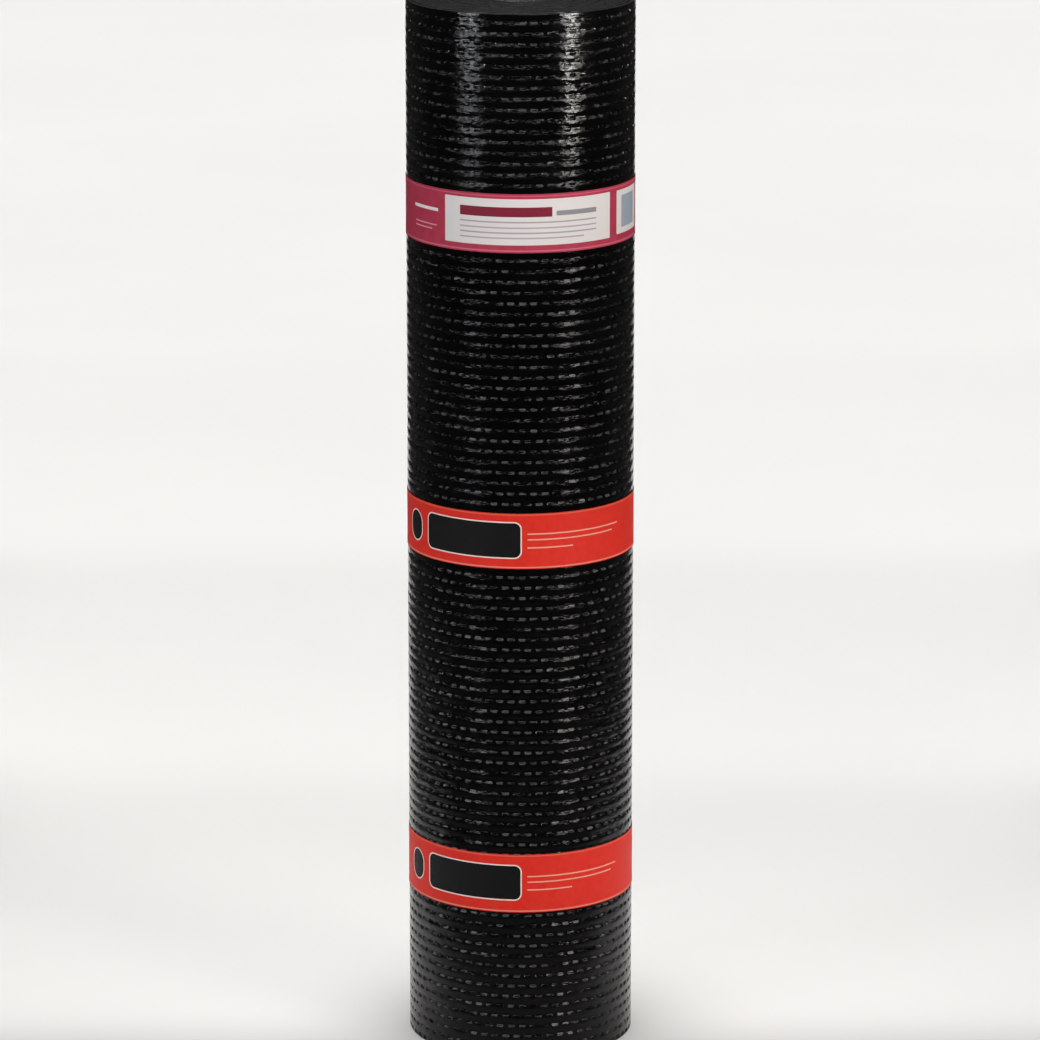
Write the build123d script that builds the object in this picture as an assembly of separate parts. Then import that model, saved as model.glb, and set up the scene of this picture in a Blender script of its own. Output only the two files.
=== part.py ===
from build123d import *

import math
import os

# Roll of bituminous roofing felt, standing on its end and held by three printed paper bands.
# Millimetres, +Z up. The origin is on the bore's axis at the lower end, and -Y is the front.
# The felt winds inwards as a two-centre spiral: half of every turn is round about the bore's axis, and
# the other half about a second axis that lies half a turn's pitch away. The outer end of the felt
# therefore lies on the roll as a step of one pitch, the lap, and the seam between the turns shows on
# both ends as one V-shaped groove that winds inwards.

# Felt and roll
felt_width = 1000.0       # the width the felt is sold in, here the height of the standing roll
felt_thickness = 4.1
winding_gap = 0.27        # air between one turn and the next
roll_diameter = 215.0     # across the half of the roll that carries the lap
bore_diameter = 60.0
lap_angle = 115.0         # where the felt's outer end lies, in degrees round from +X

# Ends of the roll
seam_mouth = 1.0          # width of the groove between two turns where it opens on the end
seam_depth = 2.5
rim_chamfer = 0.8         # softened outer corner of the felt's cut edge

# Paper bands
paper_thickness = 0.2
paper_clearance = 0.05    # between the paper and the felt
upper_band_height = 55.0
middle_band_height = 53.0
lower_band_height = 57.0
upper_band_middle = 807.0  # height of each band's middle above the floor
middle_band_middle = 507.0
lower_band_middle = 174.0

overrun = 10.0            # how far a cut runs past the face that it leaves

# Worked out from the sizes above
turn_pitch = felt_thickness + winding_gap
roll_radius = roll_diameter / 2
bore_radius = bore_diameter / 2
tuck_radius = roll_radius - turn_pitch / 2   # outer radius of the half that runs in under the lap
tuck_axis = -turn_pitch / 2                  # X of that half's axis, before the lap is turned into place


def seam_radii(outer_radius, axis_offset):
    """Radii of the seams between turns, from the outside in, while a whole turn of felt lies inside."""
    innermost = bore_radius + turn_pitch + abs(axis_offset)
    count = math.floor((outer_radius - innermost) / turn_pitch)
    return [outer_radius - turn_pitch * (turn + 1) for turn in range(count)]


def end_profile(outer_radius, axis_offset, end, inward):
    """Points along one end of the roll from the outer wall to the bore; inward is +1 or -1 along Z."""
    points = [
        (outer_radius, end + inward * rim_chamfer),
        (outer_radius - rim_chamfer, end),
    ]
    for seam in seam_radii(outer_radius, axis_offset):
        points += [
            (seam + seam_mouth / 2, end),
            (seam, end + inward * seam_depth),
            (seam - seam_mouth / 2, end),
        ]
    points.append((bore_radius - abs(axis_offset) - turn_pitch, end))
    return points


def turned_half(outer_radius, axis_offset, start_angle):
    """Half of the roll, turned half a revolution about its own axis, with the seams cut in both ends."""
    lower_end = end_profile(outer_radius, axis_offset, 0, 1)
    upper_end = end_profile(outer_radius, axis_offset, felt_width, -1)
    outline = [(radius, 0, height) for radius, height in lower_end + upper_end[::-1]]
    section = make_face(Polyline(*outline, close=True))
    half = revolve(section, Axis.Z, revolution_arc=180)
    return Pos(axis_offset, 0, 0) * Rot(0, 0, start_angle) * half


def felt_roll():
    """The wound felt as one solid: both halves of its turns, with the bore through them."""
    roll = turned_half(roll_radius, 0, 0) + turned_half(tuck_radius, tuck_axis, 180)
    bore = Pos(0, 0, felt_width / 2) * Cylinder(bore_radius, felt_width + 2 * overrun)
    return roll - bore


def stretched_outline(offset):
    """Outline of a band pulled tight round the roll, at an offset; it leaves the lap on a tangent."""
    lap_radius = roll_radius + offset
    far_radius = tuck_radius + offset
    leave = math.acos(tuck_radius / (roll_radius - tuck_axis))   # how far round the tangent meets the felt
    along = (math.cos(leave), -math.sin(leave))
    on_felt = (tuck_axis + far_radius * along[0], far_radius * along[1])
    off_lap = (roll_radius + offset * along[0], offset * along[1])
    over_lap = (roll_radius + offset * math.cos(leave / 2), -offset * math.sin(leave / 2))
    lap_start = (lap_radius, 0)
    far_side = (-lap_radius, 0)
    return make_face(
        [
            ThreePointArc(lap_start, (0, lap_radius), far_side),
            ThreePointArc(far_side, (tuck_axis, -far_radius), on_felt),
            Line(on_felt, off_lap),
            ThreePointArc(off_lap, over_lap, lap_start),
        ]
    )


def paper_band(height, middle):
    """One paper band, as a closed loop round the roll and over its lap."""
    inside = stretched_outline(paper_clearance)
    outside = stretched_outline(paper_clearance + paper_thickness)
    return Pos(0, 0, middle - height / 2) * extrude(outside - inside, height)


nodes = {
    "felt_roll": felt_roll(),
    "upper_label_band": paper_band(upper_band_height, upper_band_middle),
    "middle_label_band": paper_band(middle_band_height, middle_band_middle),
    "lower_label_band": paper_band(lower_band_height, lower_band_middle),
}

os.makedirs("parts", exist_ok=True)
for name, shape in nodes.items():
    export_step(Rot(0, 0, lap_angle) * shape, f"parts/{name}.step")

end_area = math.pi * ((roll_radius**2 + tuck_radius**2) / 2 - bore_radius**2)
felt_length = end_area / turn_pitch
print(f"felt on the roll: {felt_length:.0f} mm in {(roll_radius - bore_radius) / turn_pitch:.1f} turns")
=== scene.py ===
import math
import random

import bmesh
import bpy
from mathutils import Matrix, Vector, noise


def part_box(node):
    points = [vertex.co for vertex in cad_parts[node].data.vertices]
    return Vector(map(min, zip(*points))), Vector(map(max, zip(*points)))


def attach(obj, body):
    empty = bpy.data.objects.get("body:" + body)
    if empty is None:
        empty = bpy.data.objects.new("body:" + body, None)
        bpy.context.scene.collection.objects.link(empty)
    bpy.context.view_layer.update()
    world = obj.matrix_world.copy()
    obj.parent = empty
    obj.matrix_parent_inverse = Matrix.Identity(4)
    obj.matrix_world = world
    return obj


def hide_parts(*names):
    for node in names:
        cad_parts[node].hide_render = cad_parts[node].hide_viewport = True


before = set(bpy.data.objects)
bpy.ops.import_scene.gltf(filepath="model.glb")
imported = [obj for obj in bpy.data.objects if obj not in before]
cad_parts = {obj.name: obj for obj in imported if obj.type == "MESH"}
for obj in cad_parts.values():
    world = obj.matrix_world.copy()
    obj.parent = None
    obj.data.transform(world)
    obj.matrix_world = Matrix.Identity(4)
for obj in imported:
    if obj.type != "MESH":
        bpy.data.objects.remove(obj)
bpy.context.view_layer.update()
print("frame loaded:", sorted(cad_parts))

mm = 0.001
samePlace = 0.01 * mm            # places nearer than this count as one
weld = 0.02 * mm                 # vertices nearer than this are merged

# the roll as it was wound, in metres; its radius and height come from the frame
roll = {
    "radius": -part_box("felt_roll")[0].x,      # half of every turn is round about the bore's axis
    "height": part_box("felt_roll")[1].z,
    "thickness": 4.1 * mm,
    "pitch": 4.37 * mm,                       # one turn and the air under it
    "edge": 0.5 * mm,                         # rounding of the cut edges
    "lapAngle": math.radians(115),            # the felt's outer end lies at the back
    "guideStep": math.radians(2),
    "guideTail": 0.3,                         # radians by which the outer turn's guide outruns one turn
}
tuckAxis = Vector((math.cos(roll["lapAngle"]), math.sin(roll["lapAngle"]))) * (-roll["pitch"] / 2)


def deselectAll():
    bpy.ops.object.select_all(action="DESELECT")


def makeActive(piece):
    deselectAll()
    piece.select_set(True)
    bpy.context.view_layer.objects.active = piece


def pick(piece, kind, test):
    # selects the vertices or edges that pass a test of their place
    bpy.ops.mesh.select_mode(type=kind)
    bpy.ops.mesh.select_all(action="DESELECT")
    mesh = bmesh.from_edit_mesh(piece.data)
    parts = {"VERT": mesh.verts, "EDGE": mesh.edges}[kind]
    for part in parts:
        part.select_set(bool(test(part)))
    mesh.select_flush_mode()
    bmesh.update_edit_mesh(piece.data)


def applyModifier(piece, kind, **settings):
    makeActive(piece)
    modifier = piece.modifiers.new(kind.lower(), kind)
    for key, value in settings.items():
        setattr(modifier, key, value)
    bpy.ops.object.modifier_apply(modifier=modifier.name)


def near(a, b):
    return abs(a - b) < samePlace


# winding: a flat strip is rolled up along a guide line


def windingPoint(turned):
    # the felt's outer face after an angle turned from the lap inwards: half turns about two axes in turn
    half = int(turned // math.pi)
    centre = tuckAxis if half % 2 else Vector((0, 0))
    radius = roll["radius"] - half * roll["pitch"] / 2
    angle = roll["lapAngle"] + turned
    return centre + radius * Vector((math.cos(angle), math.sin(angle)))


def guideLine(points):
    line = bpy.data.curves.new("winding guide", "CURVE")
    line.dimensions = "2D"
    spline = line.splines.new("POLY")
    spline.points.add(len(points) - 1)
    for spot, point in zip(spline.points, points):
        spot.co = (point.x, point.y, 0, 1)
    guide = bpy.data.objects.new("winding guide", line)
    bpy.context.scene.collection.objects.link(guide)
    return guide


def lineLength(points):
    return sum((b - a).length for a, b in zip(points, points[1:]))


def rollUp(piece, points):
    guide = guideLine(points)
    applyModifier(piece, "CURVE", object=guide, deform_axis="POS_X")
    bpy.data.objects.remove(guide)


def windingPoints(start, end):
    steps = math.ceil((end - start) / roll["guideStep"])
    return [windingPoint(start + (end - start) * i / steps) for i in range(steps + 1)]


# colours and nodes


def inkColour(code):
    # an sRGB hex code as a linear colour
    channels = [int(code[i:i + 2], 16) / 255 for i in (1, 3, 5)]
    linear = [c / 12.92 if c <= 0.04045 else ((c + 0.055) / 1.055) ** 2.4 for c in channels]
    return (*linear, 1)


def addNode(tree, kind, links=None, **settings):
    node = tree.nodes.new(kind)
    for key, value in settings.items():
        setattr(node, key, value)
    for socket, source in (links or {}).items():
        if isinstance(source, bpy.types.NodeSocket):
            tree.links.new(source, node.inputs[socket])
        else:
            node.inputs[socket].default_value = source
    return node


def newMaterial(name):
    material = bpy.data.materials.new(name)
    material.use_nodes = True
    shader = material.node_tree.nodes["Principled BSDF"]
    return material, material.node_tree, shader


# polyethylene torching film, ribbed and drawn tight: black and glossy, with fine crinkles in its gloss
film = {
    "black": "#020202",
    "bloom": "#070707",          # faint grey bloom of dust and talc
    "bloomSize": 60.0 * mm,
    "roughness": (0.11, 0.18),
    "noiseSpan": (0.35, 0.65),   # the middle part of a noise, which is drawn out to the whole range
    "rowPitch": 10.0 * mm,
    "ribHeight": 0.30 * mm,      # half the height of the soft ribs between the rows of dents
    "ribShift": 4.9 * mm,        # height of the lowest groove between two ribs
    "ribFaint": 0.25,            # what is left of a rib where it fades
    "fadeSize": 11.0 * mm,
    "waver": 0.9 * mm,           # how far a rib wanders off its line
    "waverSize": 18.0 * mm,
    "sagSize": 38.0 * mm,        # slow waves of the film
    "sagHeight": 1.0 * mm,
    "crinkle": (8.0 * mm, 1.8 * mm),   # length along the winding and height of a crinkle
    "crinkleHeight": 0.34 * mm,
    "ior": 1.35,                 # below polyethylene's 1.5, to keep the film as black as it looks
}


def embossedFilm():
    material, tree, shader = newMaterial("embossed polyethylene film")
    place = addNode(tree, "ShaderNodeTexCoord").outputs["Object"]
    dim, bright = film["noiseSpan"]
    bloom = addNode(tree, "ShaderNodeTexNoise", {
        "Vector": place, "Scale": 1 / film["bloomSize"], "Detail": 5.0})
    tint = addNode(tree, "ShaderNodeMixRGB", {
        "Fac": bloom.outputs["Fac"],
        "Color1": inkColour(film["black"]), "Color2": inkColour(film["bloom"])})
    tree.links.new(tint.outputs["Color"], shader.inputs["Base Color"])
    gloss = addNode(tree, "ShaderNodeMapRange", {
        "Value": bloom.outputs["Fac"], "From Min": dim, "From Max": bright,
        "To Min": film["roughness"][0], "To Max": film["roughness"][1]})
    tree.links.new(gloss.outputs["Result"], shader.inputs["Roughness"])
    # ribs: a cosine of the height, set off its line and fading in and out by noise
    perTurn = 2 * math.pi / film["rowPitch"]
    up = addNode(tree, "ShaderNodeSeparateXYZ", {"Vector": place}).outputs["Z"]
    line = addNode(tree, "ShaderNodeMath", {0: up, 1: perTurn, 2: -perTurn * film["ribShift"]},
                   operation="MULTIPLY_ADD")
    drift = addNode(tree, "ShaderNodeTexNoise", {
        "Vector": place, "Scale": 1 / film["waverSize"], "Detail": 2.0})
    shaken = addNode(tree, "ShaderNodeMath", {
        0: drift.outputs["Fac"], 1: 2 * perTurn * film["waver"], 2: line.outputs[0]},
        operation="MULTIPLY_ADD")
    rib = addNode(tree, "ShaderNodeMath", {0: shaken.outputs[0]}, operation="COSINE")
    fading = addNode(tree, "ShaderNodeTexNoise", {
        "Vector": place, "Scale": 1 / film["fadeSize"], "Detail": 1.0})
    fade = addNode(tree, "ShaderNodeMapRange", {
        "Value": fading.outputs["Fac"], "From Min": dim, "From Max": bright,
        "To Min": film["ribFaint"], "To Max": 1.0})
    height = addNode(tree, "ShaderNodeMath", {0: rib.outputs[0], 1: fade.outputs["Result"]},
                     operation="MULTIPLY")
    ribs = addNode(tree, "ShaderNodeBump", {
        "Height": height.outputs[0], "Strength": 1.0, "Distance": film["ribHeight"]}, invert=True)
    sag = addNode(tree, "ShaderNodeTexNoise", {
        "Vector": place, "Scale": 1 / film["sagSize"], "Detail": 1.0})
    waves = addNode(tree, "ShaderNodeBump", {
        "Height": sag.outputs["Fac"], "Strength": 1.0, "Distance": film["sagHeight"],
        "Normal": ribs.outputs["Normal"]})
    along, across = film["crinkle"]
    drawn = addNode(tree, "ShaderNodeMapping", {
        "Vector": place, "Scale": (1 / along, 1 / along, 1 / across)})
    crinkle = addNode(tree, "ShaderNodeTexNoise", {
        "Vector": drawn.outputs["Vector"], "Scale": 1.0, "Detail": 2.0})
    folds = addNode(tree, "ShaderNodeBump", {
        "Height": crinkle.outputs["Fac"], "Strength": 1.0, "Distance": film["crinkleHeight"],
        "Normal": waves.outputs["Normal"]})
    tree.links.new(folds.outputs["Normal"], shader.inputs["Normal"])
    shader.inputs["IOR"].default_value = film["ior"]
    return material


# bitumen cut by a knife: dull charcoal, dragged and pitted, with grit showing
cutEdge = {
    "dark": "#242425",
    "light": "#404041",
    "grit": "#78756e",
    "gritSize": 1.1 * mm,
    "gritRim": (0.22, 0.12),     # where a grain starts and ends to show, in shares of the grit's size
    "gritShows": 0.55,           # how much of its own colour a grain shows
    "drag": 3.0 * mm,
    "pitDepth": 0.6 * mm,
    "pitStrength": 0.8,
    "roughness": 0.72,
}


def cutBitumen():
    material, tree, shader = newMaterial("cut bitumen edge")
    place = addNode(tree, "ShaderNodeTexCoord").outputs["Object"]
    drag = addNode(tree, "ShaderNodeTexNoise", {
        "Vector": place, "Scale": 1 / cutEdge["drag"], "Detail": 6.0, "Roughness": 0.65})
    body = addNode(tree, "ShaderNodeMixRGB", {
        "Fac": drag.outputs["Fac"],
        "Color1": inkColour(cutEdge["dark"]), "Color2": inkColour(cutEdge["light"])})
    grit = addNode(tree, "ShaderNodeTexVoronoi", {"Vector": place, "Scale": 1 / cutEdge["gritSize"]})
    shows = addNode(tree, "ShaderNodeMapRange", {
        "Value": grit.outputs["Distance"],
        "From Min": cutEdge["gritRim"][0], "From Max": cutEdge["gritRim"][1],
        "To Min": 0.0, "To Max": cutEdge["gritShows"]})
    colour = addNode(tree, "ShaderNodeMixRGB", {
        "Fac": shows.outputs["Result"],
        "Color1": body.outputs["Color"], "Color2": inkColour(cutEdge["grit"])})
    tree.links.new(colour.outputs["Color"], shader.inputs["Base Color"])
    pits = addNode(tree, "ShaderNodeBump", {
        "Height": drag.outputs["Fac"], "Strength": cutEdge["pitStrength"], "Distance": cutEdge["pitDepth"]})
    tree.links.new(pits.outputs["Normal"], shader.inputs["Normal"])
    shader.inputs["Roughness"].default_value = cutEdge["roughness"]
    return material


# crushed slate pressed into bitumen: grey chips of one or two millimetres, each of its own shade
granule = {
    "shades": ("#2c2d30", "#4d4f53", "#6f7175"),
    "middleShade": 0.55,         # where the middle shade lies between the darkest and the lightest
    "size": 1.6 * mm,
    "relief": 0.8 * mm,
    "reliefStrength": 0.9,
    "roughness": 0.8,
}


def slateGranules():
    material, tree, shader = newMaterial("slate granules on bitumen")
    place = addNode(tree, "ShaderNodeTexCoord").outputs["Object"]
    chips = addNode(tree, "ShaderNodeTexVoronoi", {"Vector": place, "Scale": 1 / granule["size"]})
    shade = addNode(tree, "ShaderNodeValToRGB", {"Fac": chips.outputs["Color"]})
    shade.color_ramp.elements[0].color = inkColour(granule["shades"][0])
    shade.color_ramp.elements[1].color = inkColour(granule["shades"][2])
    middle = shade.color_ramp.elements.new(granule["middleShade"])
    middle.color = inkColour(granule["shades"][1])
    tree.links.new(shade.outputs["Color"], shader.inputs["Base Color"])
    relief = addNode(tree, "ShaderNodeBump", {
        "Height": chips.outputs["Distance"], "Strength": granule["reliefStrength"],
        "Distance": granule["relief"]}, invert=True)
    tree.links.new(relief.outputs["Normal"], shader.inputs["Normal"])
    shader.inputs["Roughness"].default_value = granule["roughness"]
    return material


feltFinishes = [embossedFilm(), cutBitumen(), slateGranules()]
filmFinish, cutFinish, granuleFinish = range(3)
print("felt finishes made")


# the felt's outer turn: film pressed with staggered rows of short dents
dent = {
    "cells": 63,                 # round one turn
    "tuckCells": 1,              # under the lap
    "rows": 100,
    "rimWidth": 8.0 * mm,
    "rimHeight": 4.2 * mm,
    "square": 1.6,               # how much the rim's upper and lower sides are drawn out
    "floorWidth": 5.8 * mm,
    "floorHeight": 0.7 * mm,
    "floorLift": 0.8 * mm,       # the floor lies high in the dent, so its lower side is the longer slope
    "drop": 2.4 * mm,            # how far the dents lie below the middle of their row
    "depth": 0.9 * mm,
    "uneven": 0.34,              # how much the press varies from dent to dent
    "stray": 0.4 * mm,           # how far a dent's floor lies off its place along the row
    "strayUp": 0.6,              # share of that by which it lies higher or lower
    "stretch": 0.2,              # how much the floors vary in length
    "faint": 0.12,               # share of the dents that the press barely marks
    "faintDepth": 0.4,           # how deep those are, as a share of the others
    "sag": 0.10 * mm,            # how far the film sinks in between
    "sagSize": 28.0 * mm,
    "seed": 11,
    "smooth": math.radians(14),  # edges blunter than this are smooth
}
turnLength = math.pi * (2 * roll["radius"] - roll["pitch"] / 2)
cellWidth = turnLength / dent["cells"]
rowPitch = roll["height"] / dent["rows"]
upright = (math.pi / 2, 0, 0)    # a primitive turned to stand in XZ and face -Y, the felt's outer side


def insideCell(v):
    # clear of the cell's own border
    return abs(v.co.x) < 0.49 * cellWidth and abs(v.co.z) < 0.49 * rowPitch


def embossedCell():
    deselectAll()
    bpy.ops.mesh.primitive_plane_add(size=1, rotation=upright)
    cell = bpy.context.object
    cell.scale = (cellWidth, rowPitch, 1)
    bpy.ops.object.transform_apply(location=True, rotation=True, scale=True)
    bpy.ops.object.mode_set(mode="EDIT")
    bpy.ops.mesh.delete(type="ONLY_FACE")
    pick(cell, "EDGE", lambda e: near(e.verts[0].co.z, e.verts[1].co.z))
    bpy.ops.mesh.subdivide(number_cuts=1)
    bpy.ops.mesh.select_all(action="DESELECT")
    bpy.ops.mesh.primitive_circle_add(vertices=8, radius=0.5, rotation=upright)
    bpy.ops.transform.rotate(value=math.pi / 8, orient_axis="Y", center_override=(0, 0, 0))
    bpy.ops.transform.resize(value=(dent["rimWidth"], 1, dent["rimHeight"]), center_override=(0, 0, 0))
    pick(cell, "VERT", lambda v: insideCell(v) and abs(v.co.z) > 0.4 * dent["rimHeight"])
    bpy.ops.transform.resize(value=(dent["square"], 1, 1), center_override=(0, 0, 0))
    bpy.ops.mesh.select_mode(type="EDGE")
    bpy.ops.mesh.select_all(action="SELECT")
    bpy.ops.mesh.fill(use_beauty=True)
    bpy.ops.mesh.primitive_plane_add(size=1, rotation=upright)
    bpy.ops.transform.resize(value=(dent["floorWidth"], 1, dent["floorHeight"]), center_override=(0, 0, 0))
    bpy.ops.transform.translate(value=(0, dent["depth"], dent["floorLift"]))
    pick(cell, "EDGE", lambda e: len(e.link_faces) == 1 and all(insideCell(v) for v in e.verts))
    bpy.ops.mesh.bridge_edge_loops()
    pick(cell, "VERT", insideCell)
    bpy.ops.transform.translate(value=(0, 0, -dent["drop"]))
    bpy.ops.mesh.select_all(action="SELECT")
    bpy.ops.mesh.normals_make_consistent(inside=False)
    return cell


def pressDents(felt):
    # the press bites deeper here and there, and the film sags a little between the rows
    rng = random.Random(dent["seed"])
    bite = {}
    for v in felt.data.vertices:
        if v.co.y > 0.5 * dent["depth"]:
            spot = (round(2 * v.co.x / cellWidth), int(v.co.z / rowPitch))
            if spot not in bite:
                depth = 1 + dent["uneven"] * rng.uniform(-1, 1)
                faint = rng.random() < dent["faint"]
                if faint:
                    depth *= dent["faintDepth"]
                bite[spot] = (depth, rng.uniform(-1, 1), rng.uniform(-1, 1))
            depth, aside, higher = bite[spot]
            middle = spot[0] * cellWidth / 2
            v.co.x = middle + (v.co.x - middle) * (1 + dent["stretch"] * higher) + dent["stray"] * aside
            v.co.y *= depth
            v.co.z += dent["strayUp"] * dent["stray"] * higher
        v.co.y += dent["sag"] * (1 + noise.noise(Vector((v.co.x, 0, v.co.z)) / dent["sagSize"]))


def finishFaces(felt):
    # film outside, granules inside, bare bitumen wherever the felt was cut
    for face in felt.data.polygons:
        atEnd = not mm < face.center.z < roll["height"] - mm
        cutAcross = abs(face.normal.x) > 0.9
        cutAlong = atEnd and abs(face.normal.z) > 0.6
        if cutAcross or cutAlong:
            face.material_index = cutFinish
        else:
            face.material_index = filmFinish if face.normal.y < 0 else granuleFinish


def feltOuterTurn():
    felt = embossedCell()
    felt.name = "felt_outer_turn"
    bpy.ops.mesh.select_all(action="SELECT")
    bpy.ops.transform.translate(value=(cellWidth / 2, 0, rowPitch / 2))
    bpy.ops.mesh.duplicate_move(TRANSFORM_OT_translate={"value": (cellWidth / 2, 0, rowPitch)})
    bpy.ops.mesh.select_all(action="SELECT")
    bpy.ops.mesh.remove_doubles(threshold=weld)
    bpy.ops.object.mode_set(mode="OBJECT")
    cells = dent["cells"] + dent["tuckCells"]
    for count, step in ((cells + 1, (cellWidth, 0, 0)), (dent["rows"] // 2, (0, 0, 2 * rowPitch))):
        applyModifier(felt, "ARRAY", count=count, use_relative_offset=False, use_constant_offset=True,
                      constant_offset_displace=step, use_merge_vertices=True, merge_threshold=weld)
    pressDents(felt)
    start = cellWidth / 2
    end = start + cells * cellWidth
    bpy.ops.object.mode_set(mode="EDIT")
    for cut, side in ((start, "clear_inner"), (end, "clear_outer")):
        bpy.ops.mesh.select_all(action="SELECT")
        bpy.ops.mesh.bisect(plane_co=(cut, 0, 0), plane_no=(1, 0, 0), **{side: True})
    bpy.ops.mesh.select_all(action="SELECT")
    bpy.ops.transform.translate(value=(-start, 0, 0))
    length = cells * cellWidth
    # thickness: the rim is drawn back and closed by one plain inner face
    bpy.ops.mesh.select_mode(type="EDGE")
    bpy.ops.mesh.select_all(action="DESELECT")
    bpy.ops.mesh.select_non_manifold(use_wire=False, use_multi_face=False, use_non_contiguous=False,
                                     use_verts=False)
    bpy.ops.mesh.extrude_edges_move(TRANSFORM_OT_translate={"value": (0, roll["thickness"], 0)})
    bpy.ops.transform.resize(value=(1, 0, 1), center_override=(0, roll["thickness"], 0))
    pick(felt, "VERT", lambda v: near(v.co.y, roll["thickness"])
         and (near(v.co.x, 0) or near(v.co.x, length))
         and not near(v.co.z, 0) and not near(v.co.z, roll["height"]))
    bpy.ops.mesh.dissolve_verts()
    pick(felt, "EDGE", lambda e: all(near(v.co.y, roll["thickness"]) for v in e.verts)
         and near(e.verts[0].co.z, e.verts[1].co.z) and len(e.link_faces) == 1)
    bpy.ops.mesh.bridge_edge_loops()
    pick(felt, "EDGE", lambda e: near(e.verts[0].co.z, e.verts[1].co.z)
         and (near(e.verts[0].co.z, 0) or near(e.verts[0].co.z, roll["height"]))
         and not near(e.verts[0].co.x, e.verts[1].co.x))
    bpy.ops.mesh.bevel(offset=roll["edge"], segments=2, affect="EDGES")
    bpy.ops.mesh.select_all(action="SELECT")
    bpy.ops.mesh.normals_make_consistent(inside=False)
    bpy.ops.object.mode_set(mode="OBJECT")
    for finish in feltFinishes:
        felt.data.materials.append(finish)
    finishFaces(felt)
    rollUp(felt, windingPoints(0, 2 * math.pi + roll["guideTail"]))
    makeActive(felt)
    bpy.ops.object.shade_smooth_by_angle(angle=dent["smooth"])
    return felt


outerTurn = feltOuterTurn()
print("outer turn:", len(outerTurn.data.polygons), "faces")


# the turns inside it: the same felt, wound on down to the bore, a little uneven at its edges
inside = {
    "columns": 1680,
    "start": 2 * math.pi + dent["tuckCells"] * cellWidth / (roll["radius"] - roll["pitch"]),
    "end": math.radians(16 * 360 + 180 + 105),   # the felt's inner end, at the bore
    "drift": 0.9 * mm,           # how far the edges wander along the roll
    "driftSize": 0.31,
    "driftPhase": 3.7,           # which stretch of the noise is used
    "fray": 0.16 * mm,
    "seed": 23,
    "smooth": math.radians(30),
}


def unevenEdges(felt):
    # each turn sits a little higher or lower than the last, and the knife leaves its edges ragged
    rng = random.Random(inside["seed"])
    for v in felt.data.vertices:
        wander = noise.noise(Vector((v.co.x / inside["driftSize"], inside["driftPhase"], 0)))
        v.co.z += inside["drift"] * (0.5 + 0.5 * wander)
        v.co.z += inside["fray"] * rng.uniform(-1, 1)
        v.co.z = max(v.co.z, 0)


def feltInnerTurns():
    points = windingPoints(inside["start"], inside["end"])
    length = lineLength(points)
    deselectAll()
    bpy.ops.mesh.primitive_grid_add(x_subdivisions=inside["columns"], y_subdivisions=1, size=1,
                                    rotation=upright)
    felt = bpy.context.object
    felt.name = "felt_inner_turns"
    felt.scale = (length, roll["height"], 1)
    felt.location = (length / 2, 0, roll["height"] / 2)
    bpy.ops.object.transform_apply(location=True, rotation=True, scale=True)
    applyModifier(felt, "SOLIDIFY", thickness=roll["thickness"], offset=-1)
    bpy.ops.object.mode_set(mode="EDIT")
    pick(felt, "EDGE", lambda e: near(e.verts[0].co.z, e.verts[1].co.z)
         and not near(e.verts[0].co.x, e.verts[1].co.x))
    bpy.ops.mesh.bevel(offset=roll["edge"], segments=2, affect="EDGES")
    bpy.ops.mesh.select_all(action="SELECT")
    bpy.ops.mesh.normals_make_consistent(inside=False)
    bpy.ops.object.mode_set(mode="OBJECT")
    for finish in feltFinishes:
        felt.data.materials.append(finish)
    finishFaces(felt)
    unevenEdges(felt)
    rollUp(felt, points)
    makeActive(felt)
    bpy.ops.object.shade_smooth_by_angle(angle=inside["smooth"])
    return felt


innerTurns = feltInnerTurns()
print("inner turns:", len(innerTurns.data.polygons), "faces")


# paper bands: pulled tight round the roll and over the lap, and glued over their own start at the back
band = {
    "paper": 0.2 * mm,
    "clearance": 0.05 * mm,
    "seam": math.radians(35),    # where the paper starts, past the lap
    "overlap": math.radians(9),
    "climb": math.radians(12),   # over which it rises on to its own start
    "rise": 1.2,                 # by how many thicknesses
    "tangentSteps": 8,           # points along the straight run over the lap
    "columns": 300,
    "rows": 10,
    "lift": 0.3 * mm,            # how far its edges stand off the felt
    "liftPower": 6,              # how close to the edges the lift begins
    "slackSize": (0.05, 0.03),   # length and height of a slack stretch
    "slackPhase": 10,            # each band has its own slack stretches, by its height
    "smooth": math.radians(30),
}


def bandPoints():
    out = band["clearance"] + band["paper"]
    far = roll["radius"] - roll["pitch"] / 2
    leave = math.acos(far / (roll["radius"] + roll["pitch"] / 2))   # where the tangent over the lap starts
    step = roll["guideStep"]
    points = []

    def arc(start, end, radius, centre, rise=0.0):
        count = max(2, math.ceil((end - start) / step))
        for i in range(count + 1):
            turned = start + (end - start) * i / count
            grown = min(1, max(0, (turned - band["seam"]) / band["climb"] + 1))
            angle = roll["lapAngle"] + turned
            reach = radius + rise * grown * grown * (3 - 2 * grown)
            points.append(centre + reach * Vector((math.cos(angle), math.sin(angle))))

    axis = Vector((0, 0))
    lapCorner = roll["radius"] * Vector((math.cos(roll["lapAngle"]), math.sin(roll["lapAngle"])))
    arc(band["seam"], math.pi - step, roll["radius"] + out, axis)
    arc(math.pi, 2 * math.pi - leave, far + out, tuckAxis)
    onFelt = points[-1]
    angle = roll["lapAngle"] - leave
    overLap = lapCorner + out * Vector((math.cos(angle), math.sin(angle)))
    for i in range(band["tangentSteps"]):
        points.append(onFelt.lerp(overLap, (i + 1) / band["tangentSteps"]))
    arc(step / 4, band["seam"] + band["overlap"], roll["radius"] + out, axis, band["rise"] * band["paper"])
    return points


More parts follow.
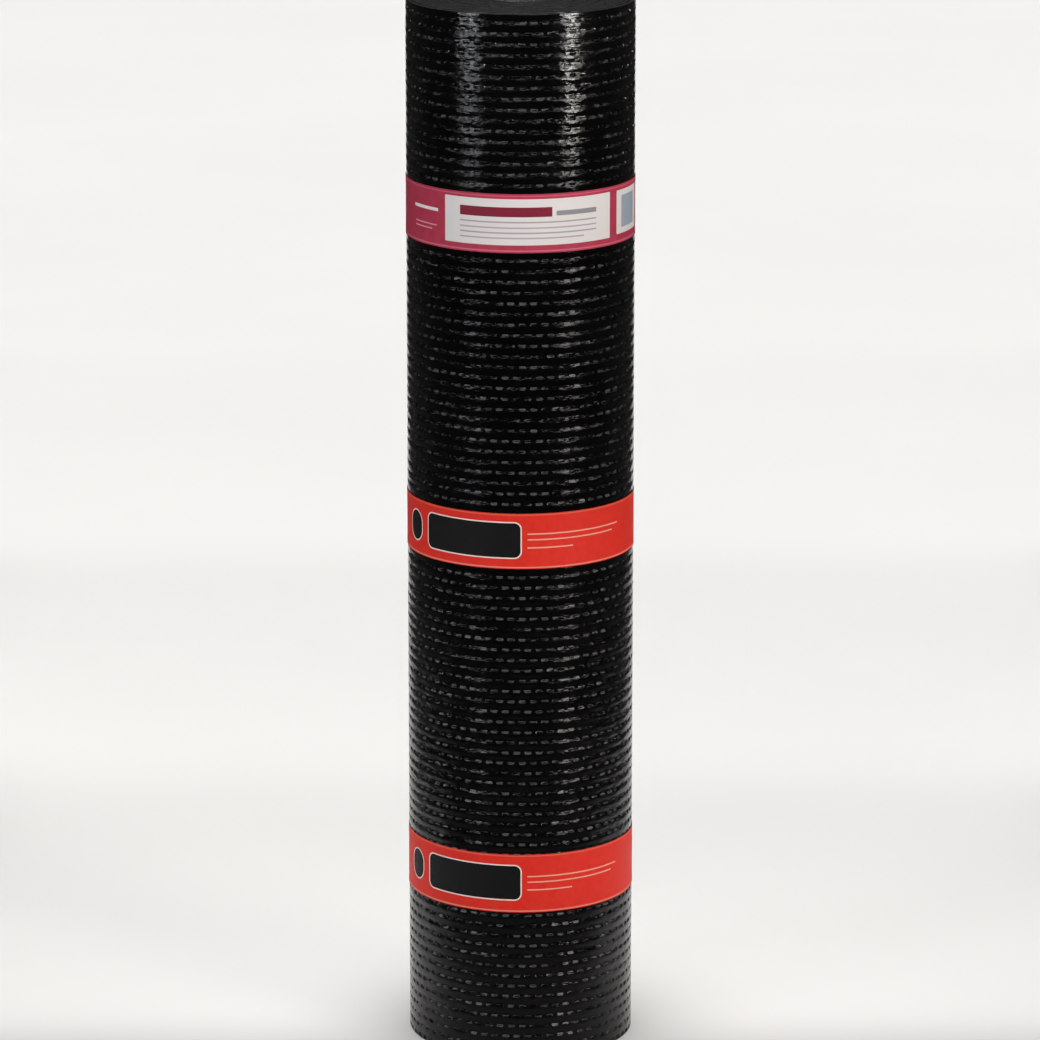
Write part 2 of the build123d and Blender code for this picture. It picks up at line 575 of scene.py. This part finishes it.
def labelBand(name, node, paper):
    low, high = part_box(node)
    points = bandPoints()
    length = lineLength(points)
    height = high.z - low.z
    middle = (low.z + high.z) / 2
    deselectAll()
    bpy.ops.mesh.primitive_grid_add(x_subdivisions=band["columns"], y_subdivisions=band["rows"], size=1,
                                    rotation=upright)
    strip = bpy.context.object
    strip.name = name
    strip.scale = (length, height, 1)
    strip.location = (length / 2, 0, middle)
    bpy.ops.object.transform_apply(location=True, rotation=True, scale=True)
    along, across = band["slackSize"]
    for v in strip.data.vertices:
        fromMiddle = abs(v.co.z - middle) / (height / 2)
        loose = noise.noise(Vector((v.co.x / along, v.co.z / across, low.z * band["slackPhase"])))
        v.co.y -= band["lift"] * (0.5 + 0.5 * loose) * fromMiddle ** band["liftPower"]
    applyModifier(strip, "SOLIDIFY", thickness=band["paper"], offset=-1)
    rollUp(strip, points)
    makeActive(strip)
    bpy.ops.object.shade_smooth_by_angle(angle=band["smooth"])
    strip.data.materials.append(paper(length, height))
    return strip


# coated label paper: flat ink with a soft sheen, a little mottled, on thin stock that cockles
label = {
    "wide": 400,                 # millimetres, for lines that run all the way round: printed rules, and the orange band's painted edge highlight
    "shift": 12.0 * mm,          # how far right of the front's middle the print is centred
    "bleed": 0.12 * mm,          # half the width over which ink fades out
    "mottleSize": 9.0 * mm,
    "noiseSpan": (0.3, 0.7),     # the middle part of the mottle, which is drawn out to the whole range
    "roughness": (0.48, 0.62),
    "fibreSize": 1.5 * mm,
    "fibreHeight": 0.15 * mm,
    "fibreStrength": 0.12,
    "cockleSize": 26.0 * mm,
    "cockleHeight": 1.2 * mm,
    "cockleStrength": 0.4,
    "ior": 1.33,
}


def printedBox(tree, place, box):
    # the inside of one rounded box of the print: 1 within it, 0 outside
    across, up, width, height, corner = (size * mm for size in box)
    moved = addNode(tree, "ShaderNodeVectorMath", {0: place, 1: (across, up, 0)}, operation="SUBTRACT")
    folded = addNode(tree, "ShaderNodeVectorMath", {0: moved.outputs[0]}, operation="ABSOLUTE")
    core = (width / 2 - corner, height / 2 - corner, 1)
    past = addNode(tree, "ShaderNodeVectorMath", {0: folded.outputs[0], 1: core}, operation="SUBTRACT")
    outside = addNode(tree, "ShaderNodeVectorMath", {0: past.outputs[0], 1: (0, 0, 0)}, operation="MAXIMUM")
    far = addNode(tree, "ShaderNodeVectorMath", {0: outside.outputs[0]}, operation="LENGTH")
    inked = addNode(tree, "ShaderNodeMapRange", {
        "Value": far.outputs["Value"],
        "From Min": corner + label["bleed"], "From Max": corner - label["bleed"],
        "To Min": 0.0, "To Max": 1.0})
    return inked.outputs["Result"]


def printedPaper(name, ink, boxes, length, height):
    material, tree, shader = newMaterial(name)
    front = (math.radians(270) - roll["lapAngle"] - band["seam"]) * (roll["radius"] + band["paper"])
    flat = addNode(tree, "ShaderNodeTexCoord").outputs["UV"]
    spread = addNode(tree, "ShaderNodeMapping", {
        "Vector": flat, "Location": (-front, -height / 2, 0), "Scale": (length, height, 1)})
    place = spread.outputs["Vector"]
    repeat = math.pi * roll["radius"]    # the print comes twice round the roll
    wrapped = addNode(tree, "ShaderNodeVectorMath", {
        0: place, 1: (repeat / 2 + label["shift"], 1, 1), 2: (label["shift"] - repeat / 2, -1, -1)},
        operation="WRAP")
    dim, bright = label["noiseSpan"]
    mottle = addNode(tree, "ShaderNodeTexNoise", {
        "Vector": place, "Scale": 1 / label["mottleSize"], "Detail": 6.0, "Roughness": 0.6})
    shade = addNode(tree, "ShaderNodeMapRange", {
        "Value": mottle.outputs["Fac"], "From Min": dim, "From Max": bright, "To Min": 0.0, "To Max": 1.0})
    colour = addNode(tree, "ShaderNodeMixRGB", {
        "Fac": shade.outputs["Result"], "Color1": inkColour(ink[0]), "Color2": inkColour(ink[1])})
    for box, code in boxes:
        inked = printedBox(tree, wrapped.outputs[0], box)
        colour = addNode(tree, "ShaderNodeMixRGB", {
            "Fac": inked, "Color1": colour.outputs["Color"], "Color2": inkColour(code)})
    tree.links.new(colour.outputs["Color"], shader.inputs["Base Color"])
    gloss = addNode(tree, "ShaderNodeMapRange", {
        "Value": mottle.outputs["Fac"], "From Min": dim, "From Max": bright,
        "To Min": label["roughness"][0], "To Max": label["roughness"][1]})
    tree.links.new(gloss.outputs["Result"], shader.inputs["Roughness"])
    fibre = addNode(tree, "ShaderNodeTexNoise", {
        "Vector": place, "Scale": 1 / label["fibreSize"], "Detail": 4.0})
    cockle = addNode(tree, "ShaderNodeTexNoise", {
        "Vector": place, "Scale": 1 / label["cockleSize"], "Detail": 2.0})
    waves = addNode(tree, "ShaderNodeBump", {
        "Height": cockle.outputs["Fac"], "Strength": label["cockleStrength"],
        "Distance": label["cockleHeight"]})
    grain = addNode(tree, "ShaderNodeBump", {
        "Height": fibre.outputs["Fac"], "Strength": label["fibreStrength"], "Distance": label["fibreHeight"],
        "Normal": waves.outputs["Normal"]})
    tree.links.new(grain.outputs["Normal"], shader.inputs["Normal"])
    shader.inputs["IOR"].default_value = label["ior"]
    return material


# printed crimson with white panels; the boxes are (across, up, width, height, corner) in millimetres, from
# the middle of the front
def crimsonPaper(length, height):
    wide = label["wide"]
    boxes = [
        ((0, 25.4, wide, 1.2, 0.1), "#c4586f"),
        ((0, -25.6, wide, 1.2, 0.1), "#cf6c80"),
        ((8.5, 1.2, 169, 43, 0.8), "#ddd7d5"),
        ((127, 1.6, 47, 41, 0.8), "#ddd7d5"),
        ((127, 1.6, 30, 30, 0.8), "#9aa4b2"),
        ((-15, 10.5, 88, 9, 0.6), "#7d1d33"),
        ((54, 9.0, 42, 4.5, 0.6), "#8d8a90"),
        ((8, 1.0, 134, 1.3, 0.2), "#a39ba3"),
        ((8, -4.2, 134, 1.3, 0.2), "#b09fae"),
        ((8, -9.0, 134, 1.3, 0.2), "#a39ba3"),
        ((1, -13.8, 120, 1.3, 0.2), "#b09fae"),
        ((-104, 7.0, 38, 3.0, 0.6), "#eadfe0"),
        ((-104, -7.5, 34, 1.2, 0.2), "#d9909f"),
        ((-107, -11.5, 28, 1.2, 0.2), "#d9909f"),
    ]
    return printedPaper("crimson printed paper", ("#a73047", "#b33a51"), boxes, length, height)


# printed orange-red, with plain black plates edged in white and thin pale rules; the pale line along the
# lower edge is a painted highlight of the paper's edge
def orangePaper(length, height):
    wide = label["wide"]
    edge = height / mm / 2
    boxes = [
        ((0, edge - 1.4, wide, 1.0, 0.1), "#dd6a52"),
        # pale line along the lower edge: a painted highlight of the paper's edge, put into the ink
        ((0, 1.4 - edge, wide, 1.2, 0.1), "#e88a76"),
        ((-50.5, 0.8, 102.4, 35.4, 7.2), "#f1ddd6"),
        ((-50.5, 0.8, 100, 33, 6), "#070607"),
        ((-123, 0.8, 24.4, 30.4, 12.2), "#f1ddd6"),
        ((-123, 0.8, 22, 28, 11), "#070607"),
        ((56, 6.9, 100, 1.3, 0.2), "#f0a28f"),
        ((52, 1.4, 92, 1.3, 0.2), "#f0a28f"),
        ((28, -6.3, 44, 1.3, 0.2), "#f0a28f"),
    ]
    return printedPaper("orange-red printed paper", ("#d8281c", "#e13122"), boxes, length, height)


bands = [
    labelBand("upper_band", "upper_label_band", crimsonPaper),
    labelBand("middle_band", "middle_label_band", orangePaper),
    labelBand("lower_band", "lower_label_band", orangePaper),
]
print("bands:", [len(strip.data.polygons) for strip in bands])

for turn in (outerTurn, innerTurns):
    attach(turn, "root")
    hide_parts("felt_roll")
for strip, node, slot in zip(bands, ("upper_label_band", "middle_label_band", "lower_label_band"),
                             ("crimson_paper", "orange_paper", "orange_paper")):
    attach(strip, "root")
    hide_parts(node)


# studio: a pale floor, gridded softboxes in an arc before the roll, and a row of them over the floor behind
cool = (0.94, 0.97, 1.0)
neutral = (1, 1, 1)
warm = (1.0, 0.97, 0.92)
studio = {
    "floor": ("#dfdedc", "#d9d8d6"),
    "floorSize": 40.0,
    "floorCloud": 1.5,           # clouds in the paint, to a metre
    "floorRoughness": 0.9,
    "air": 0.035,                # how bright the room is
    # name, azimuth, distance, height, height aimed at, size, radiance, spread in degrees, tint
    "softboxes": (
        ("front softbox", -20, 2.0, 1.75, 0.78, (0.72, 1.3), 4.4, 46, neutral),
        ("front softbox", 0, 2.0, 1.75, 0.78, (0.72, 1.3), 4.4, 46, neutral),
        ("front softbox", 20, 2.0, 1.75, 0.78, (0.72, 1.3), 4.4, 46, neutral),
        ("left softbox", -50, 1.9, 1.35, 0.78, (1.2, 1.4), 7.4, 40, cool),
        ("right softbox", 50, 1.9, 1.35, 0.78, (1.2, 1.4), 12.0, 40, warm),
        ("left strip", -52, 1.2, 0.88, 1.14, (0.50, 0.26), 21.0, 28, cool),
        ("right strip", 50, 1.2, 0.88, 1.14, (0.32, 0.26), 74.0, 28, warm),
        ("low left strip", -44, 1.5, 0.42, 0.20, (0.7, 0.36), 6.5, 26, cool),
        ("low right strip", 46, 1.5, 0.42, 0.20, (0.7, 0.36), 13.5, 26, warm),
        ("low front strip", 0, 2.0, 0.80, 0.06, (1.5, 0.40), 2.0, 26, neutral),
    ),
    # azimuth and slant of the side panels, and the radiance of the upper and the lower one
    "panels": ((76, 15, 3.2, 8.0), (94, 13, 3.2, 7.0), (112, 9, 1.1, 2.4), (132, 5, 0.3, 0.8)),
    "panelDistance": 2.0,
    "panelWidth": 0.7,
    "panelSpread": 22,
    "upperPanel": (0.80, 0.7),   # height aimed at and height of the panel
    "lowerPanel": (0.22, 0.45),
    # where one floor light ends and the next starts, behind the roll's axis, and the radiance of each
    "floorReach": (-0.1, 0.8, 1.8, 3.0, 4.4, 5.9, 7.6),
    "floorRadiance": (96, 110, 119, 122, 123, 123),
    "floorLightHeight": 0.95,
    "floorLightWidth": (1.2, 0.19),   # at the axis, and its growth with each metre behind it
    "floorLightSpread": 20,
}


def paleFloor():
    deselectAll()
    bpy.ops.mesh.primitive_plane_add(size=studio["floorSize"])
    floor = bpy.context.object
    floor.name = "floor"
    material, tree, shader = newMaterial("pale painted floor")
    place = addNode(tree, "ShaderNodeTexCoord").outputs["Object"]
    cloud = addNode(tree, "ShaderNodeTexNoise", {
        "Vector": place, "Scale": studio["floorCloud"], "Detail": 4.0})
    tint = addNode(tree, "ShaderNodeMixRGB", {
        "Fac": cloud.outputs["Fac"],
        "Color1": inkColour(studio["floor"][0]), "Color2": inkColour(studio["floor"][1])})
    tree.links.new(tint.outputs["Color"], shader.inputs["Base Color"])
    shader.inputs["Roughness"].default_value = studio["floorRoughness"]
    floor.data.materials.append(material)


def softbox(name, place, target, size, radiance, spread, tint):
    # the radiance is the one straight in front of the box; its grid keeps the light within the spread
    half = math.radians(spread) / 2
    lamp = bpy.data.lights.new(name, "AREA")
    lamp.shape = "RECTANGLE"
    lamp.size, lamp.size_y = size
    lamp.energy = radiance * math.pi * size[0] * size[1] * (1 - half / math.tan(half))
    lamp.spread = 2 * half
    lamp.color = tint
    box = bpy.data.objects.new(name, lamp)
    bpy.context.scene.collection.objects.link(box)
    box.location = place
    aim = Vector(target) - Vector(place)
    box.rotation_euler = aim.to_track_quat("-Z", "Y").to_euler()
    box.visible_camera = False


def around(azimuth, distance, height):
    angle = math.radians(azimuth)
    return (distance * math.sin(angle), -distance * math.cos(angle), height)


def lightRoll():
    for name, azimuth, distance, height, aim, size, radiance, spread, tint in studio["softboxes"]:
        softbox(name, around(azimuth, distance, height), (0, 0, aim), size, radiance, spread, tint)
    # gridded panels down both sides: their light falls at one slant, so that only the dents catch it
    distance = studio["panelDistance"]
    for azimuth, slant, high, low in studio["panels"]:
        drop = distance * math.tan(math.radians(slant))
        for side, tint in ((-1, cool), (1, warm)):
            for (height, tall), radiance in ((studio["upperPanel"], high), (studio["lowerPanel"], low)):
                place = around(side * azimuth, distance, height + drop)
                softbox("side panel", place, (0, 0, height), (studio["panelWidth"], tall), radiance,
                        studio["panelSpread"], tint)


def lightFloor():
    # these hang lower than the roll's upper end, so that none of their light falls on the end face
    width, growth = studio["floorLightWidth"]
    reach = studio["floorReach"]
    for start, end, radiance in zip(reach, reach[1:], studio["floorRadiance"]):
        middle = (start + end) / 2
        softbox("floor light", (0, middle, studio["floorLightHeight"]), (0, middle, 0),
                (width + growth * end, end - start), radiance, studio["floorLightSpread"], neutral)


paleFloor()
lightRoll()
lightFloor()
print("studio lit:", len(bpy.data.lights), "lamps")

# the room itself is dim, so that black film stays black
world = bpy.data.worlds.new("studio room")
bpy.context.scene.world = world
world.use_nodes = True
world.node_tree.nodes["Background"].inputs["Color"].default_value = (1, 1, 1, 1)
world.node_tree.nodes["Background"].inputs["Strength"].default_value = studio["air"]

# the camera stands far off in front of the roll and looks down on it a little
view = {
    "place": (-0.0011, -5.121, 1.784),
    "tilt": 14.07,               # degrees below level
    "lens": 192.9,
    "sensor": 36,
}
camera = bpy.data.objects.new("camera", bpy.data.cameras.new("camera"))
bpy.context.scene.collection.objects.link(camera)
camera.location = view["place"]
camera.rotation_euler = (math.radians(90 - view["tilt"]), 0, 0)
camera.data.lens = view["lens"]
camera.data.sensor_width = view["sensor"]
bpy.context.scene.camera = camera
bpy.context.scene.view_settings.view_transform = "Standard"
